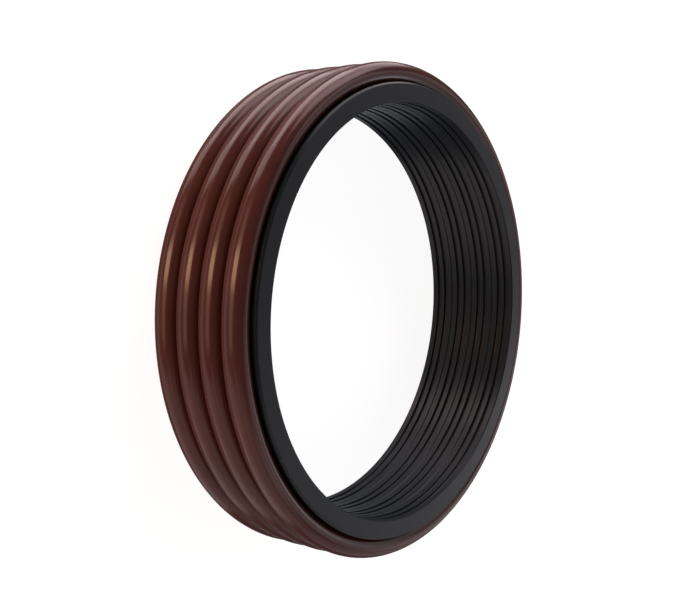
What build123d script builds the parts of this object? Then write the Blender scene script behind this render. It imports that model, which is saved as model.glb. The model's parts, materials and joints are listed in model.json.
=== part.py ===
from build123d import *
import os

# Rotary shaft seal: a stack of like sealing elements, standing on its end.
# Each element is a narrow ring of filled sealing plastic that runs on the shaft,
# with two oil grooves in its bore, and a rubber o-ring in a shallow seat round its back,
# which presses it onto the shaft and seals against the housing.
# All sizes are millimetres. The stack's axis is Z, its lowest face is at Z = 0.

# The stack
element_count = 4

# The sealing ring
shaft_diameter = 63.0
ring_width = 4.15
seat_wall = 2.4
shoulder_height = 0.45
bore_edge_chamfer = 0.12
back_edge_chamfer = 0.25

# The seat isn't central: it lies this much nearer the ring's lower face, below a wide shoulder
seat_offset = 0.25

# The oil grooves in its bore, round at the bottom
oil_groove_count = 2
oil_groove_width = 0.6
oil_groove_straight = 0.15

# The o-ring, and the play that it has in its seat
cord_diameter = 3.53
seat_play = 0.08
seat_clearance = 0.02

# What follows from them
bore_radius = shaft_diameter / 2
seat_floor_radius = bore_radius + seat_wall
shoulder_radius = seat_floor_radius + shoulder_height
ring_wall = shoulder_radius - bore_radius
cord_radius = cord_diameter / 2
seat_radius = cord_radius + seat_play
seat_centre = seat_floor_radius + seat_radius
cord_centre = seat_floor_radius + seat_clearance + cord_radius
oil_groove_pitch = ring_width / (oil_groove_count + 1)


def ring_blank():
    """Half section of the ring before grooving: X is outwards, Y is along the shaft."""
    blank = Pos(bore_radius + ring_wall / 2, 0) * Rectangle(ring_wall, ring_width)
    blank = chamfer(blank.vertices().group_by(Axis.X)[0], bore_edge_chamfer)
    return chamfer(blank.vertices().group_by(Axis.X)[-1], back_edge_chamfer)


def oil_groove():
    """Section of one groove, with its mouth on the origin and its round floor outwards."""
    walls = Rectangle(2 * oil_groove_straight, oil_groove_width)
    return walls + Pos(oil_groove_straight, 0) * Circle(oil_groove_width / 2)


def ring_section():
    """Half section of the finished ring, with its o-ring seat and its oil grooves."""
    section = ring_blank() - Pos(seat_centre, -seat_offset) * Circle(seat_radius)
    for index in range(oil_groove_count):
        height = (index + 1) * oil_groove_pitch - ring_width / 2
        section -= Pos(bore_radius, height) * oil_groove()
    return section


def seal_ring(middle):
    """One sealing ring, turned about the shaft, with its mid plane at this height."""
    return Pos(0, 0, middle) * revolve(Plane.XZ * ring_section(), Axis.Z)


def o_ring(middle):
    """One o-ring, lying in the seat of the ring with this mid plane."""
    return Pos(0, 0, middle - seat_offset) * Torus(cord_centre, cord_radius)


def write_node(name, shape):
    export_step(shape, os.path.join("parts", name + ".step"))


os.makedirs("parts", exist_ok=True)
for number in range(1, element_count + 1):
    mid_plane = (number - 0.5) * ring_width
    write_node(f"seal_ring_{number}", seal_ring(mid_plane))
    write_node(f"o_ring_{number}", o_ring(mid_plane))
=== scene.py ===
# %% [markdown]
# A rotary shaft seal, dressed for its portrait
#
# The object is a stack of slim seals on one axis. Each seal is a near-black ring turned
# from filled sealing plastic, with two oil grooves in its bore, and a red-brown rubber
# o-ring lying in a shallow seat round its back. The frame that is loaded here is the
# engineering model: it fixes every size, and nothing in this lesson moves or resizes it.

# %% Load the frame
import json
import math

import bmesh
import bpy
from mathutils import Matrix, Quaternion, Vector

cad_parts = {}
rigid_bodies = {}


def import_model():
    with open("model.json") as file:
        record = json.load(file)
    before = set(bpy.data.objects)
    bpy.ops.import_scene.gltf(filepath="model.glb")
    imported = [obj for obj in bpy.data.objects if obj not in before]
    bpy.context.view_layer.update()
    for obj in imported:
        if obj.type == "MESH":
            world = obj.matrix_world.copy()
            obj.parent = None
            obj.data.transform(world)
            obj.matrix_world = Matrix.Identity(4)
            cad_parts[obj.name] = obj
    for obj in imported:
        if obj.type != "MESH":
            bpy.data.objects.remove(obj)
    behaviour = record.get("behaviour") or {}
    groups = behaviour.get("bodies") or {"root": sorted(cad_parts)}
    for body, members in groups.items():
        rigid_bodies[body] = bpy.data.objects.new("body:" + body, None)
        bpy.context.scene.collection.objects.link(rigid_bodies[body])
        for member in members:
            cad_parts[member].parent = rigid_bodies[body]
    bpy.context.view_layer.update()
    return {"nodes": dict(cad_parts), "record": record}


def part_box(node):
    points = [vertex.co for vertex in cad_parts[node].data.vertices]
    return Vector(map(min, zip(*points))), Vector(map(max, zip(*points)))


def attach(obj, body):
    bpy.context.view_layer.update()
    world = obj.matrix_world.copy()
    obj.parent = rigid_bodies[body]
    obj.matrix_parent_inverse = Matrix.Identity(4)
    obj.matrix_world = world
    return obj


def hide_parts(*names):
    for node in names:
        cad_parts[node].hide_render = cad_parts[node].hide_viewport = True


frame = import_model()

scene = bpy.context.scene
print("nodes in the frame:", ", ".join(sorted(frame["nodes"])))

# %% [markdown]
# Sizes come from the frame, so that a dressed piece always fits its node. A ring's box
# gives its width and its outside radius, an o-ring's box gives the thickness of its cord
# and the radius of its centre line, and the shaft's size is a mount in the record. Only
# the small features that no box shows are named here again, in metres.

# %% Read the sizes
MM = 0.001
elements = sorted(int(name.split("_")[-1]) for name in frame["nodes"] if name.startswith("o_ring_"))

ring_low, ring_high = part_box("seal_ring_1")
cord_low, cord_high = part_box("o_ring_1")
shaft_bore = next(m for m in frame["record"]["mounts"] if m["name"] == "shaft_bore")

bore_radius = shaft_bore["dims"]["r_mm"] * MM
ring_width = ring_high.z - ring_low.z
shoulder_radius = ring_high.x
cord_radius = (cord_high.z - cord_low.z) / 2
cord_centre = cord_high.x - cord_radius
seat_offset = (ring_low.z + ring_high.z) / 2 - (cord_low.z + cord_high.z) / 2

seat_play = 0.08 * MM
seat_clearance = 0.02 * MM
oil_groove_count = 2
oil_groove_width = 0.6 * MM
oil_groove_straight = 0.15 * MM
bore_edge_chamfer = 0.12 * MM
back_edge_chamfer = 0.25 * MM
print(f"{len(elements)} elements, a ring {ring_width / MM:.2f} mm wide,",
      f"a cord {2 * cord_radius / MM:.2f} mm thick")

# %% [markdown]
# The camera comes first, because every finish is judged through it. The stack stands on
# its end, so the picture looks down on it from the side and lies on its side: the stack's
# up is the picture's right. A direction, a roll, a distance and a point to aim at say all
# of that, and they are easier to read than a matrix. A short distance with a medium lens
# gives the strong perspective of a small thing seen close by.

# %% Place the camera
camera_azimuth = -94.79
camera_elevation = 38.35
camera_roll = 94.17
camera_distance = 162.3 * MM
camera_aim = Vector((0.85, -0.20, 1.6)) * MM
camera_lens = 53.47


def direction(azimuth, elevation):
    """The unit vector towards a place on the sky. Azimuth 0 is towards -Y, and 90 towards +X."""
    turn, lift = math.radians(azimuth), math.radians(elevation)
    level = math.cos(lift)
    return Vector((math.sin(turn) * level, -math.cos(turn) * level, math.sin(lift)))


def place_camera():
    """Creates the camera and makes it the scene's own."""
    data = bpy.data.cameras.new("camera")
    data.lens = camera_lens
    data.clip_start = 1 * MM
    camera = bpy.data.objects.new("camera", data)
    scene.collection.objects.link(camera)
    back = direction(camera_azimuth, camera_elevation)
    upright = (-back).to_track_quat("-Z", "Y")
    camera.rotation_mode = "QUATERNION"
    camera.rotation_quaternion = upright @ Quaternion((0, 0, 1), math.radians(camera_roll))
    camera.location = camera_aim + back * camera_distance
    scene.camera = camera
    return camera


camera = place_camera()
print("camera at", [round(x / MM, 1) for x in camera.location], "mm")

# %% [markdown]
# Node trees are used for shapes and for finishes alike. Three helpers keep the cells short:
# one adds a node and fills in its inputs, one begins a group with named sockets, and one
# does sums. An input may be given a plain value or another node's output.

# %% Helpers for node trees


def add(tree, kind, inputs=None, **settings):
    """Adds a node. Settings are its properties, and inputs give its sockets values or outputs."""
    node = tree.nodes.new(kind)
    for key, value in settings.items():
        setattr(node, key, value)
    for key, value in (inputs or {}).items():
        if isinstance(value, bpy.types.NodeSocket):
            tree.links.new(value, node.inputs[key])
        else:
            node.inputs[key].default_value = value
    return node


def new_group(name, kind, inputs, outputs):
    """An empty node group with named sockets. Returns the tree and its input and output nodes."""
    tree = bpy.data.node_groups.new(name, kind)
    for label, socket_type, default in inputs:
        socket = tree.interface.new_socket(name=label, in_out="INPUT", socket_type=socket_type)
        if default is not None:
            socket.default_value = default
    for label, socket_type in outputs:
        tree.interface.new_socket(name=label, in_out="OUTPUT", socket_type=socket_type)
    return tree, tree.nodes.new("NodeGroupInput"), tree.nodes.new("NodeGroupOutput")


def maths(tree, operation, first, second=0.0):
    """A Math node's output."""
    return add(tree, "ShaderNodeMath", {0: first, 1: second}, operation=operation).outputs[0]


print("helpers: add, new_group, maths")

# %% [markdown]
# Turned plastic shows fine rings wherever a tool has passed. On a body of revolution such
# a mark is a circle, so its place is a radius and a height. The sum of the two changes
# along a side face and along the bore alike, and one line of noise in that sum marks the
# whole ring without any unwrapping.

# %% The turning marks
mark_detail = 2.0


def turning_marks_group():
    """Height of the tool's marks on a body of revolution about Z."""
    tree, given, result = new_group(
        "turning marks", "ShaderNodeTree",
        [("Fine Pitch", "NodeSocketFloat", 0.1 * MM),
         ("Coarse Pitch", "NodeSocketFloat", 0.45 * MM),
         ("Coarse Share", "NodeSocketFloat", 0.4)],
        [("Height", "NodeSocketFloat"), ("Mask", "NodeSocketFloat")])
    place = add(tree, "ShaderNodeTexCoord").outputs["Object"]
    parts = add(tree, "ShaderNodeSeparateXYZ", {0: place}).outputs
    squares = maths(tree, "ADD", maths(tree, "MULTIPLY", parts[0], parts[0]),
                    maths(tree, "MULTIPLY", parts[1], parts[1]))
    along = maths(tree, "ADD", maths(tree, "SQRT", squares), parts[2])
    layers = []
    for pitch in ("Fine Pitch", "Coarse Pitch"):
        where = maths(tree, "DIVIDE", along, given.outputs[pitch])
        noise = add(tree, "ShaderNodeTexNoise", {"W": where, "Scale": 1.0, "Detail": mark_detail},
                    noise_dimensions="1D")
        layers.append(noise.outputs[0])
    coarse = maths(tree, "MULTIPLY", layers[1], given.outputs["Coarse Share"])
    tree.links.new(maths(tree, "ADD", layers[0], coarse), result.inputs["Height"])
    tree.links.new(layers[1], result.inputs["Mask"])
    return tree


turning_marks = turning_marks_group()
print("group:", turning_marks.name, "with", len(turning_marks.nodes), "nodes")

# %% [markdown]
# No moulded or turned surface is quite even. Both finishes share one group that puts out
# a fine grain for the bump and a soft mottle for colour and gloss, each at a size given in
# metres, so that the grain stays the same on a close view and on a far one.

# %% The grain that both finishes share
grain_detail = 3.0
mottle_detail = 4.0


def grain_group():
    """Fine grain and soft mottle, by real size."""
    tree, given, result = new_group(
        "surface grain", "ShaderNodeTree",
        [("Grain Size", "NodeSocketFloat", 0.15 * MM), ("Mottle Size", "NodeSocketFloat", 6 * MM)],
        [("Grain", "NodeSocketFloat"), ("Mottle", "NodeSocketFloat")])
    place = add(tree, "ShaderNodeTexCoord").outputs["Object"]
    for size, detail, output in (("Grain Size", grain_detail, "Grain"),
                                 ("Mottle Size", mottle_detail, "Mottle")):
        scale = maths(tree, "DIVIDE", 1.0, given.outputs[size])
        noise = add(tree, "ShaderNodeTexNoise", {"Vector": place, "Scale": scale, "Detail": detail})
        tree.links.new(noise.outputs[0], result.inputs[output])
    return tree


surface_grain = grain_group()
print("group:", surface_grain.name, "with", len(surface_grain.nodes), "nodes")

# %% [markdown]
# Both finishes begin with a new material, and both read noise in the same two ways: as a
# roughness between two values, or as a mix of two near colours. Noise gathers round a
# half, so only its middle part is stretched over the range that is asked for.

# %% Helpers for finishes
noise_low = 0.3
noise_high = 0.7


def new_material(name):
    """A new material, its node tree and its surface shader."""
    material = bpy.data.materials.new(name)
    material.use_nodes = True
    return material, material.node_tree, material.node_tree.nodes["Principled BSDF"]


def in_range(tree, value, low, high):
    """Maps the middle part of a noise value to a range."""
    return add(tree, "ShaderNodeMapRange",
               {"Value": value, "From Min": noise_low, "From Max": noise_high,
                "To Min": low, "To Max": high}).outputs[0]


def shade_of(tree, value, dark, light):
    """Mixes two colours by a noise value."""
    mix = add(tree, "ShaderNodeMix", data_type="RGBA")
    tree.links.new(in_range(tree, value, 0.0, 1.0), mix.inputs["Factor"])
    mix.inputs["A"].default_value = (*dark, 1)
    mix.inputs["B"].default_value = (*light, 1)
    return mix.outputs["Result"]


print("helpers: new_material, in_range, shade_of")

# %% [markdown]
# The running ring is sealing plastic filled with carbon, so it is nearly black, dull and a
# little waxy. Its colour hardly changes, and what the eye reads is gloss: the marks from
# the tool break up the reflection. The shader's plain values stay on its own sockets, and
# only what changes over the surface is linked.

# %% The finish of the running ring
plastic_dark = (0.0078, 0.0125, 0.0168)
plastic_light = (0.0104, 0.0164, 0.0222)
plastic_roughness = (0.28, 0.36)
plastic_ior = 1.4
plastic_grain = 0.12 * MM
plastic_mottle = 5 * MM
plastic_bump = 0.2
mark_bump = 0.25
bump_depth = 0.01 * MM


def ring_plastic_material():
    """Near-black filled sealing plastic with turning marks."""
    material, tree, shader = new_material("ring_plastic")
    marks = add(tree, "ShaderNodeGroup", node_tree=turning_marks).outputs
    grain = add(tree, "ShaderNodeGroup",
                {"Grain Size": plastic_grain, "Mottle Size": plastic_mottle},
                node_tree=surface_grain).outputs
    colour = shade_of(tree, grain["Mottle"], plastic_dark, plastic_light)
    tree.links.new(colour, shader.inputs["Base Color"])
    roughness = in_range(tree, marks["Mask"], *plastic_roughness)
    tree.links.new(roughness, shader.inputs["Roughness"])
    marked = add(tree, "ShaderNodeBump", {"Height": marks["Height"], "Strength": mark_bump,
                                          "Distance": bump_depth}).outputs[0]
    grained = add(tree, "ShaderNodeBump", {"Height": grain["Grain"], "Strength": plastic_bump,
                                           "Distance": bump_depth, "Normal": marked}).outputs[0]
    tree.links.new(grained, shader.inputs["Normal"])
    shader.inputs["IOR"].default_value = plastic_ior
    return material


ring_plastic = ring_plastic_material()
print("material:", ring_plastic.name)

# %% [markdown]
# The o-ring is moulded fluoro rubber, a deep red brown with a satin skin. The mould is
# polished, so there is no texture to see, only a very slight unevenness that softens a
# highlight. Its skin is glossier than the plastic, so it is the rubber that shows where the
# lamps stand.

# %% The finish of the rubber
rubber_dark = (0.078, 0.0230, 0.0180)
rubber_light = (0.095, 0.0285, 0.0225)
rubber_roughness = (0.17, 0.21)
rubber_ior = 1.5
rubber_grain = 0.25 * MM
rubber_mottle = 8 * MM
rubber_bump = 0.15


def o_ring_rubber_material():
    """Red-brown moulded rubber, satin."""
    material, tree, shader = new_material("o_ring_rubber")
    grain = add(tree, "ShaderNodeGroup",
                {"Grain Size": rubber_grain, "Mottle Size": rubber_mottle},
                node_tree=surface_grain).outputs
    colour = shade_of(tree, grain["Mottle"], rubber_dark, rubber_light)
    tree.links.new(colour, shader.inputs["Base Color"])
    roughness = in_range(tree, grain["Mottle"], *rubber_roughness)
    tree.links.new(roughness, shader.inputs["Roughness"])
    grained = add(tree, "ShaderNodeBump", {"Height": grain["Grain"], "Strength": rubber_bump,
                                           "Distance": bump_depth}).outputs[0]
    tree.links.new(grained, shader.inputs["Normal"])
    shader.inputs["IOR"].default_value = rubber_ior
    return material


o_ring_rubber = o_ring_rubber_material()
print("material:", o_ring_rubber.name)

# %% [markdown]
# A turned ring is one section carried round the shaft, so its shape is a drawing in
# radius and height. Three tools draw it. One gives an arc, one rounds a corner a little, as
# the tool or a deburring pass leaves it, and one holds every flat by two helper points
# close to its ends, so that smooth shading doesn't bend the flats: this takes the place of
# sharp edges and costs few faces.

# %% Helpers for a section
corner_steps = 4
arc_steps = 12
hold = 0.02 * MM
long_straight = 5 * hold


def arc(centre, radius, start, end, steps=arc_steps):
    """Points on an arc, from one angle to another in degrees, ends included."""
    angles = [math.radians(start + (end - start) * i / steps) for i in range(steps + 1)]
    return [centre + radius * Vector((math.cos(a), math.sin(a))) for a in angles]


def rounded(before, corner, after, radius):
    """The points of a small arc in place of a corner between two straight lines."""
    back, ahead = (before - corner).normalized(), (after - corner).normalized()
    half = back.angle(ahead) / 2
    centre = corner + (back + ahead).normalized() * radius / math.sin(half)
    first = corner + back * radius / math.tan(half) - centre
    last = corner + ahead * radius / math.tan(half) - centre
    sweep = first.angle_signed(last)
    turned = []
    for i in range(corner_steps + 1):
        angle = -sweep * i / corner_steps
        c, s = math.cos(angle), math.sin(angle)
        turned.append(centre + Vector((first.x * c - first.y * s, first.x * s + first.y * c)))
    return turned


def held_flat(points):
    """Adds a point close to each end of every long straight."""
    held = []
    for here, there in zip(points, points[1:] + points[:1]):
        held.append(here)
        step = there - here
        if step.length > long_straight:
            held += [here + step.normalized() * hold, there - step.normalized() * hold]
    return held


print("helpers: arc, rounded, held_flat")

# %% [markdown]
# The outline goes round the section once: up the bore with its two grooves, out along the
# upper face, down the back with the o-ring's seat, and in along the lower face. It has the
# grooves and chamfers of the engineering model. A point with a radius beside it is a corner
# to be rounded, and a point with None lies on an arc and stays.

# %% Draw the section of the ring
corner_break = 0.04 * MM


def chamfered(radius, height, cut):
    """The two ends of a 45 degree chamfer: first the one on the wall, then the one on the face."""
    along_face = cut if radius == bore_radius else -cut
    on_wall = Vector((radius, height - math.copysign(cut, height)))
    on_face = Vector((radius + along_face, height))
    return [(on_wall, corner_break), (on_face, corner_break)]


def ring_section():
    """The closed section of one ring, in radius and height, as rounded corners and arcs."""
    half = ring_width / 2
    seat_radius = cord_radius + seat_play
    seat_centre = Vector((cord_centre - seat_clearance + seat_play, -seat_offset))
    lip_angle = math.degrees(math.acos((shoulder_radius - seat_centre.x) / seat_radius))
    outline = chamfered(bore_radius, -half, bore_edge_chamfer)[::-1]
    for index in range(oil_groove_count):
        middle = (index + 1) * ring_width / (oil_groove_count + 1) - half
        floor_radius = oil_groove_width / 2
        centre = Vector((bore_radius + oil_groove_straight, middle))
        outline.append((Vector((bore_radius, middle - floor_radius)), corner_break))
        outline += [(p, None) for p in arc(centre, floor_radius, -90, 90)]
        outline.append((Vector((bore_radius, middle + floor_radius)), corner_break))
    outline += chamfered(bore_radius, half, bore_edge_chamfer)
    outline += chamfered(shoulder_radius, half, back_edge_chamfer)[::-1]
    seat = arc(seat_centre, seat_radius, lip_angle, 360 - lip_angle, 2 * arc_steps)
    outline.append((seat[0], corner_break))
    outline += [(p, None) for p in seat[1:-1]]
    outline.append((seat[-1], corner_break))
    outline += chamfered(shoulder_radius, -half, back_edge_chamfer)
    points = []
    for index, (corner, radius) in enumerate(outline):
        before, after = outline[index - 1][0], outline[(index + 1) % len(outline)][0]
        points += [corner] if radius is None else rounded(before, corner, after, radius)
    return held_flat(points)


section_points = ring_section()
print("section:", len(section_points), "points")

# %% [markdown]
# The lathe itself is a small geometry tree. A circle is the path and the section is the
# profile, and Curve to Mesh carries one along the other. Normals set to Z Up keep the
# section standing in a plane through the axis. A ring and an o-ring differ in the profile,
# the path's radius, the height and the finish. Those are the tree's inputs, so one tree
# serves both.

# %% Build the lathe tree
turn_steps = 480


def lathe_tree():
    """Carries a closed section round the Z axis. The section's X counts outwards from the path."""
    tree, given, result = new_group(
        "lathe", "GeometryNodeTree",
        [("Section", "NodeSocketObject", None),
         ("Path Radius", "NodeSocketFloat", bore_radius),
         ("Height", "NodeSocketFloat", 0.0),
         ("Steps Round", "NodeSocketInt", turn_steps),
         ("Finish", "NodeSocketMaterial", None)],
        [("Geometry", "NodeSocketGeometry")])
    given = given.outputs
    profile = add(tree, "GeometryNodeObjectInfo", {"Object": given["Section"]}).outputs["Geometry"]
    path = add(tree, "GeometryNodeCurvePrimitiveCircle",
               {"Radius": given["Path Radius"],
                "Resolution": given["Steps Round"]}).outputs["Curve"]
    upright = add(tree, "GeometryNodeSetCurveNormal", {"Curve": path}, mode="Z_UP").outputs["Curve"]
    turned = add(tree, "GeometryNodeCurveToMesh",
                 {"Curve": upright, "Profile Curve": profile}).outputs["Mesh"]
    lift = add(tree, "ShaderNodeCombineXYZ", {"Z": given["Height"]}).outputs[0]
    placed = add(tree, "GeometryNodeTransform",
                 {"Geometry": turned, "Translation": lift}).outputs[0]
    smooth = add(tree, "GeometryNodeSetShadeSmooth", {"Geometry": placed}).outputs[0]
    whole = add(tree, "GeometryNodeRealizeInstances", {"Geometry": smooth}).outputs[0]
    painted = add(tree, "GeometryNodeSetMaterial", {"Geometry": whole, "Material": given["Finish"]})
    tree.links.new(painted.outputs[0], result.inputs["Geometry"])
    return tree


lathe = lathe_tree()
print("tree:", lathe.name, "with", len(lathe.nodes), "nodes")

# %% [markdown]
# A section is a closed poly curve on its own little object. The o-ring's is a plain
# circle; the ring's is the outline drawn above, moved so that its path is the bore.

# %% Make the two sections
cord_steps = 48


def section_object(name, points, path_radius):
    """A closed poly curve for the lathe, from points in radius and height."""
    data = bpy.data.curves.new(name, "CURVE")
    spline = data.splines.new("POLY")
    spline.points.add(len(points) - 1)
    for place, point in zip(spline.points, points):
        place.co = (point.x - path_radius, point.y, 0, 1)
    spline.use_cyclic_u = True
    section = bpy.data.objects.new(name, data)
    scene.collection.objects.link(section)
    return section


ring_profile = section_object("ring section", section_points, bore_radius)
cord_points = arc(Vector((cord_centre, 0)), cord_radius, 0, 360, cord_steps)[:-1]
cord_profile = section_object("cord section", cord_points, cord_centre)
print("sections:", ring_profile.name, "and", cord_profile.name)

# %% [markdown]
# Each piece is made by a modifier that runs the lathe, and then becomes a plain mesh. A
# modifier's inputs are found by their identifiers, because names may repeat in a tree.
# Curve to Mesh may leave the faces looking inwards, so the sign of the mesh's volume is
# measured and the faces are turned if it is negative.

# %% Helpers that turn a piece


def set_inputs(modifier, values):
    """Sets a modifier's inputs by the names of the tree's sockets."""
    for item in modifier.node_group.interface.items_tree:
        if item.item_type == "SOCKET" and item.in_out == "INPUT" and item.name in values:
            modifier[item.identifier] = values[item.name]


def facing_out(mesh):
    """Turns a closed mesh's faces outwards, and returns its volume."""
    shape = bmesh.new()
    shape.from_mesh(mesh)
    volume = shape.calc_volume(signed=True)
    if volume < 0:
        bmesh.ops.reverse_faces(shape, faces=shape.faces)
        shape.to_mesh(mesh)
    shape.free()
    return abs(volume)


def turned_piece(name, values):
    """Runs the lathe with these values and returns a plain mesh object."""
    piece = bpy.data.objects.new(name, bpy.data.meshes.new(name))
    scene.collection.objects.link(piece)
    modifier = piece.modifiers.new("lathe", "NODES")
    modifier.node_group = lathe
    set_inputs(modifier, values)
    ready = piece.evaluated_get(bpy.context.evaluated_depsgraph_get())
    mesh = bpy.data.meshes.new_from_object(ready)
    piece.modifiers.remove(modifier)
    piece.data = mesh
    mesh.name = name
    volume = facing_out(mesh)
    print(f"{name}: {len(mesh.polygons)} faces, {volume / MM ** 3:.0f} cubic mm")
    return piece


def middle_height(node):
    """Height of a node's mid plane."""
    low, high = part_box(node)
    return (low.z + high.z) / 2


print("helpers: set_inputs, facing_out, turned_piece, middle_height")

# %% [markdown]
# Every node of the frame gets its dressed piece, which rides on the only body, and the
# node itself is hidden. Nothing moves in a stack of seals, so that is all there is to fit.
# The two sections have done their work and go.

# %% Turn the rings and the o-rings
for number in elements:
    ring = turned_piece(f"running_ring_{number}", {
        "Section": ring_profile, "Path Radius": bore_radius, "Finish": ring_plastic,
        "Height": middle_height(f"seal_ring_{number}")})
    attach(ring, "root")
    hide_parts(f"seal_ring_{number}")
    cord = turned_piece(f"moulded_o_ring_{number}", {
        "Section": cord_profile, "Path Radius": cord_centre, "Finish": o_ring_rubber,
        "Height": middle_height(f"o_ring_{number}")})
    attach(cord, "root")
    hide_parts(f"o_ring_{number}")

for profile in (ring_profile, cord_profile):
    bpy.data.objects.remove(profile)
print("pieces turned:", 2 * len(elements))

# %% [markdown]
# The photograph shows the stack on its rim, with much of the light from behind the rings.
# Here the stack stands on its end, so the same light comes partly from below, as on a
# light table. The floor lets the lamps' light pass and stays out of reflections. To the
# camera it is white by a light of its own that reaches nothing else, and its plain diffuse
# part still takes the seal's soft shadow.

# %% Lay the floor
floor_span = 3.0
floor_tone = 0.50
floor_lift = 0.91
floor_roughness = 0.9
floor_specular = 0.1
gloss_share = 0.06


def seen_share(tree):
    """One for what the camera sees directly, a share for what is seen in gloss, otherwise zero."""
    light_path = add(tree, "ShaderNodeLightPath").outputs
    mirrored = maths(tree, "ADD", light_path["Is Glossy Ray"], light_path["Is Transmission Ray"])
    share = maths(tree, "MULTIPLY", mirrored, gloss_share)
    return maths(tree, "MAXIMUM", light_path["Is Camera Ray"], share)


def floor_material():
    """Grey floor, lifted to white for the camera."""
    material, tree, shader = new_material("floor")
    shader.inputs["Base Color"].default_value = (floor_tone, floor_tone, floor_tone, 1)
    shader.inputs["Roughness"].default_value = floor_roughness
    shader.inputs["Specular IOR Level"].default_value = floor_specular
    glow = maths(tree, "MULTIPLY", seen_share(tree), floor_lift)
    shader.inputs["Emission Color"].default_value = (1, 1, 1, 1)
    tree.links.new(glow, shader.inputs["Emission Strength"])
    return material


def lay_floor():
    """A flat square at the height of the stack's lowest face, which lets the lamps' light pass."""
    reach = floor_span / 2
    mesh = bpy.data.meshes.new("floor")
    corners = [(-reach, -reach, 0), (reach, -reach, 0), (reach, reach, 0), (-reach, reach, 0)]
    mesh.from_pydata(corners, [], [(0, 1, 2, 3)])
    mesh.materials.append(floor_material())
    floor = bpy.data.objects.new("floor", mesh)
    scene.collection.objects.link(floor)
    floor.visible_shadow = False
    floor.visible_glossy = False
    return floor


print("floor:", lay_floor().name, "of tone", floor_tone)

# %% [markdown]
# The world is the room round the floor. It is white to the camera, like the floor, a small
# share of that to rays that are mirrored or pass through, and almost dark to diffuse
# light, so that the lamps alone shape the seal.

# %% Set the world
world_level = 0.02


def set_world():
    """White behind the seal for the camera, faint light for the rest."""
    world = bpy.data.worlds.new("studio")
    world.use_nodes = True
    scene.world = world
    tree = world.node_tree
    level = add(tree, "ShaderNodeMapRange", {"Value": seen_share(tree), "To Min": world_level,
                                             "To Max": 1.0}).outputs[0]
    tree.links.new(level, tree.nodes["Background"].inputs["Strength"])
    tree.nodes["Background"].inputs["Color"].default_value = (1, 1, 1, 1)


set_world()
print("world:", scene.world.name, "at level", world_level)

# %% [markdown]
# The lamps are soft boxes a metre away. Each is described as the seal sees it: where it
# stands in the sky, how many degrees it is wide and high, and how bright it looks, where 1
# is as bright as lit white paper. Its power follows from its area. A satin tube mirrors a
# whole arc of the sky across its width, so each place along it asks for lamps in another
# direction, and the photograph tells at each place how bright that direction was.

# %% A helper that hangs a lamp
lamp_distance = 1.0


def lamp(name, azimuth, elevation, wide, high, level, colour):
    """A rectangular soft lamp that looks at the seal. Its spread is in degrees."""
    width = 2 * lamp_distance * math.tan(math.radians(wide / 2) * math.cos(math.radians(elevation)))
    height = 2 * lamp_distance * math.tan(math.radians(high / 2))
    data = bpy.data.lights.new(name, "AREA")
    data.shape = "RECTANGLE"
    data.size, data.size_y = width, height
    data.energy = level * math.pi * width * height
    data.color = colour
    lamp_object = bpy.data.objects.new(name, data)
    scene.collection.objects.link(lamp_object)
    towards = direction(azimuth, elevation)
    lamp_object.location = towards * lamp_distance
    lamp_object.rotation_mode = "QUATERNION"
    lamp_object.rotation_quaternion = towards.to_track_quat("Z", "Y")
    return lamp_object


def lamps_so_far():
    """How many lamps hang in the scene."""
    return sum(item.type == "LIGHT" for item in scene.objects)


print("helpers: lamp, lamps_so_far")

# %% [markdown]
# A tall warm strip draws the fine copper line on the left of each o-ring. The line fades
# out at both ends, so the strip has a faint head and a faint tail beside it.

# %% Hang the warm strip
lamp("warm strip", azimuth=-107, elevation=5, wide=15, high=34, level=7.0, colour=(1.0, 0.58, 0.36))
lamp("strip head", azimuth=-124, elevation=5, wide=19, high=30, level=0.9, colour=(1.0, 0.62, 0.48))
lamp("strip tail", azimuth=-87, elevation=6, wide=24, high=30, level=1.2, colour=(1.0, 0.60, 0.44))
print("lamps so far:", lamps_so_far())

# %% [markdown]
# A large soft box stands on the side that is the top of the picture, and gives the tubes
# their double sheen there. One even box would be too plain, so it is made of panes: bright
# ones low and high, a dimmer one between them, and others round them where the sheen fades.

# %% Hang the soft box
lamp("soft box", azimuth=175, elevation=-10, wide=50, high=30, level=3.6, colour=(1.0, 0.86, 0.87))
lamp("soft box middle", azimuth=160, elevation=12, wide=56, high=14, level=1.5, colour=(1.0, 0.85, 0.86))
lamp("soft box top", azimuth=157, elevation=31, wide=46, high=24, level=2.4, colour=(1.0, 0.85, 0.87))
lamp("soft box wing", azimuth=117, elevation=43, wide=20, high=16, level=0.9, colour=(1.0, 0.85, 0.87))
lamp("soft box side", azimuth=139, elevation=-6, wide=20, high=22, level=2.0, colour=(1.0, 0.86, 0.87))
lamp("soft box edge", azimuth=-152, elevation=-17, wide=20, high=46, level=2.2, colour=(1.0, 0.80, 0.77))
lamp("soft box foot", azimuth=176, elevation=-39, wide=40, high=18, level=0.4, colour=(1.0, 0.90, 0.92))
print("lamps so far:", lamps_so_far())

# %% [markdown]
# The side that is the bottom of the picture is dim, even and faintly pink. Its wide panes
# keep the lower left of the tubes brown and smooth, and give the bore a dull shine.

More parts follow.
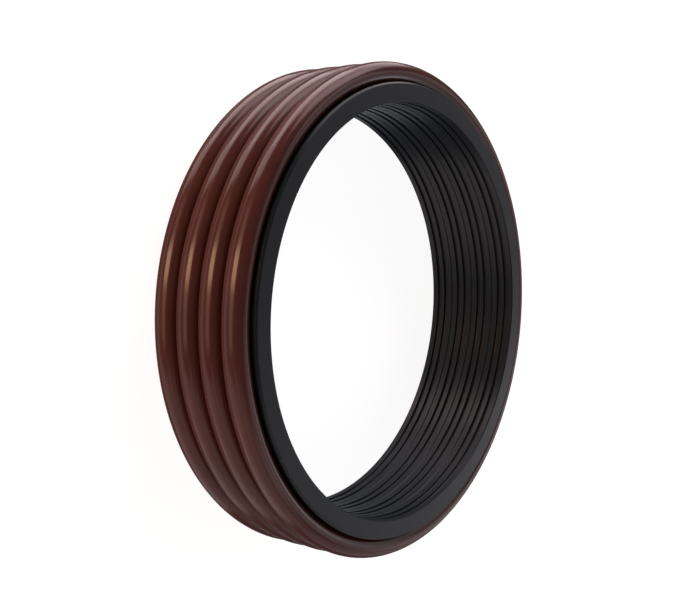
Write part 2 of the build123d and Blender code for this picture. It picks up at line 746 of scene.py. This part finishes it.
# %% Hang the near panes
lamp("near fill", azimuth=-30, elevation=-19, wide=70, high=40, level=0.70, colour=(1.0, 0.84, 0.84))
lamp("near foot", azimuth=-2, elevation=-40, wide=34, high=14, level=0.45, colour=(1.0, 0.92, 0.92))
lamp("near wall", azimuth=-28, elevation=20, wide=70, high=38, level=0.5, colour=(1.0, 0.80, 0.80))
lamp("near top", azimuth=-8, elevation=50, wide=90, high=24, level=0.38, colour=(1.0, 0.84, 0.82))
lamp("near peak", azimuth=42, elevation=58, wide=70, high=20, level=0.45, colour=(1.0, 0.86, 0.88))
lamp("near side", azimuth=38, elevation=14, wide=62, high=38, level=0.36, colour=(1.0, 0.82, 0.84))
print("lamps so far:", lamps_so_far())

# %% [markdown]
# The flat face mirrors what lies beyond the stack, at a low angle, so cool panes stand
# there, and a small bright one makes the light patch at the face's lower right. A dim warm
# one below them is for the tubes, and two under the floor are for the ends of the bore.

# %% Hang the far panes
lamp("far top", azimuth=85, elevation=27, wide=62, high=17, level=0.49, colour=(0.95, 0.94, 1.0))
lamp("far spot", azimuth=78, elevation=28, wide=10, high=9, level=1.4, colour=(0.98, 0.95, 1.0))
lamp("far peak", azimuth=95, elevation=45, wide=34, high=19, level=0.28, colour=(0.98, 0.94, 1.0))
lamp("far shoulder", azimuth=62, elevation=45, wide=32, high=19, level=0.49, colour=(0.94, 0.94, 1.0))
lamp("far low", azimuth=84, elevation=4, wide=50, high=28, level=0.22, colour=(1.0, 0.84, 0.86))
lamp("ground", azimuth=74, elevation=-36, wide=44, high=34, level=0.4, colour=(0.88, 0.95, 1.0))
lamp("ground far", azimuth=118, elevation=-35, wide=44, high=24, level=0.12, colour=(0.86, 0.92, 1.0))
print("lamps so far:", lamps_so_far())

# %% [markdown]
# The last lamps stand under the floor, which is the left of the picture. Two brighten the
# tubes' left edges. The third only lifts their shaded sides, so no gloss may show it.

# %% Hang the low lamps
lamp("left foot", azimuth=-80, elevation=-50, wide=140, high=22, level=0.5, colour=(1.0, 0.84, 0.82))
lamp("left low", azimuth=-90, elevation=-33, wide=46, high=30, level=0.2, colour=(1.0, 0.80, 0.74))
bounce = lamp("left bounce", azimuth=-105, elevation=-32, wide=80, high=34, level=1.05,
              colour=(1.0, 0.82, 0.76))
bounce.visible_glossy = False
print("lamps in all:", lamps_so_far())

# %% [markdown]
# Last, the colours are shown as they are written.

# %% Finish
scene.view_settings.view_transform = "Standard"
bpy.context.view_layer.update()
